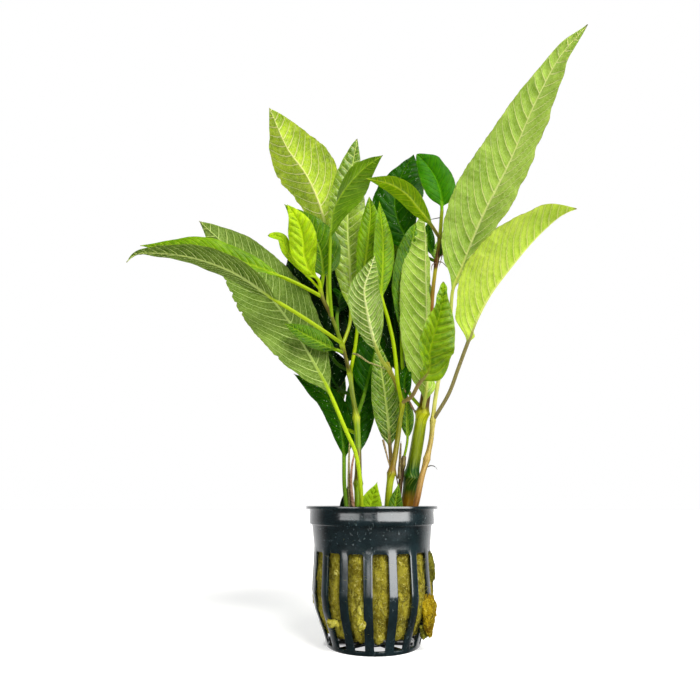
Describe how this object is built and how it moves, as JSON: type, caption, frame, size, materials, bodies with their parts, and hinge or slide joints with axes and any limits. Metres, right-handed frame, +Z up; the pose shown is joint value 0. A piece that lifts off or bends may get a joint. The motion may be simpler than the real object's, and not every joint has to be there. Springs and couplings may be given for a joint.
{
  "type": "potted hygrophila",
  "caption": "Upright, unbranched stems with long pointed leaves, planted in a mineral-wool plug that fills a small slotted net pot.",
  "frame": {"origin": "centre of the pot's foot, on the surface that the pot stands on", "axes": "+Z up along the pot's axis; -Y towards the side seen in the picture; +X to the right seen from there"},
  "size_m": [0.2041, 0.1256, 0.2751],
  "materials": {
    "pot": "gloss",
    "rockwool": "matte",
    "stem": "satin",
    "woody_stem": "satin",
    "pale_leaf": "satin",
    "bright_leaf": "satin",
    "green_leaf": "satin",
    "dark_leaf": "gloss"
  },
  "bodies": {
    "root": {"leaf_arching_left": "pale_leaf", "leaf_arching_middle": "green_leaf", "leaf_arching_right": "bright_leaf", "leaf_back_arching": "dark_leaf", "leaf_back_far_right": "pale_leaf", "leaf_back_left": "green_leaf", "leaf_back_low": "dark_leaf", "leaf_back_right": "green_leaf", "leaf_back_upright": "green_leaf", "leaf_big_left": "pale_leaf", "leaf_big_right": "pale_leaf", "leaf_bright_left": "bright_leaf", "leaf_bright_middle": "bright_leaf", "leaf_dark_behind_stem": "dark_leaf", "leaf_dark_inner": "dark_leaf", "leaf_dark_middle": "dark_leaf", "leaf_front_ribbed": "pale_leaf", "leaf_front_right": "bright_leaf", "leaf_low_left": "dark_leaf", "leaf_low_right": "pale_leaf", "leaf_narrow_middle": "bright_leaf", "leaf_narrow_right": "green_leaf", "leaf_pot_front": "bright_leaf", "leaf_pot_left": "dark_leaf", "leaf_pot_right": "dark_leaf", "leaf_shadow_left": "dark_leaf", "leaf_shadow_low": "dark_leaf", "leaf_shadow_middle": "dark_leaf", "leaf_short_left": "green_leaf", "leaf_small_curled": "bright_leaf", "leaf_small_dark_right": "dark_leaf", "leaf_stub": "green_leaf", "leaf_tall_right": "pale_leaf", "leaf_tip_pair_left": "dark_leaf", "leaf_tip_pair_right": "dark_leaf", "leaf_top_dark": "dark_leaf", "leaf_top_green": "green_leaf", "leaf_top_left": "pale_leaf", "leaf_upright_middle": "green_leaf", "leaf_veined_middle": "green_leaf", "leaf_young_behind": "green_leaf", "leaf_young_left": "bright_leaf", "net_pot": "pot", "rockwool": "rockwool", "rootlet": "woody_stem", "stem_dead_stub": "woody_stem", "stem_left": "stem", "stem_middle": "stem", "stem_right": "woody_stem", "stem_thick": "stem"}
  },
  "joints": []
}
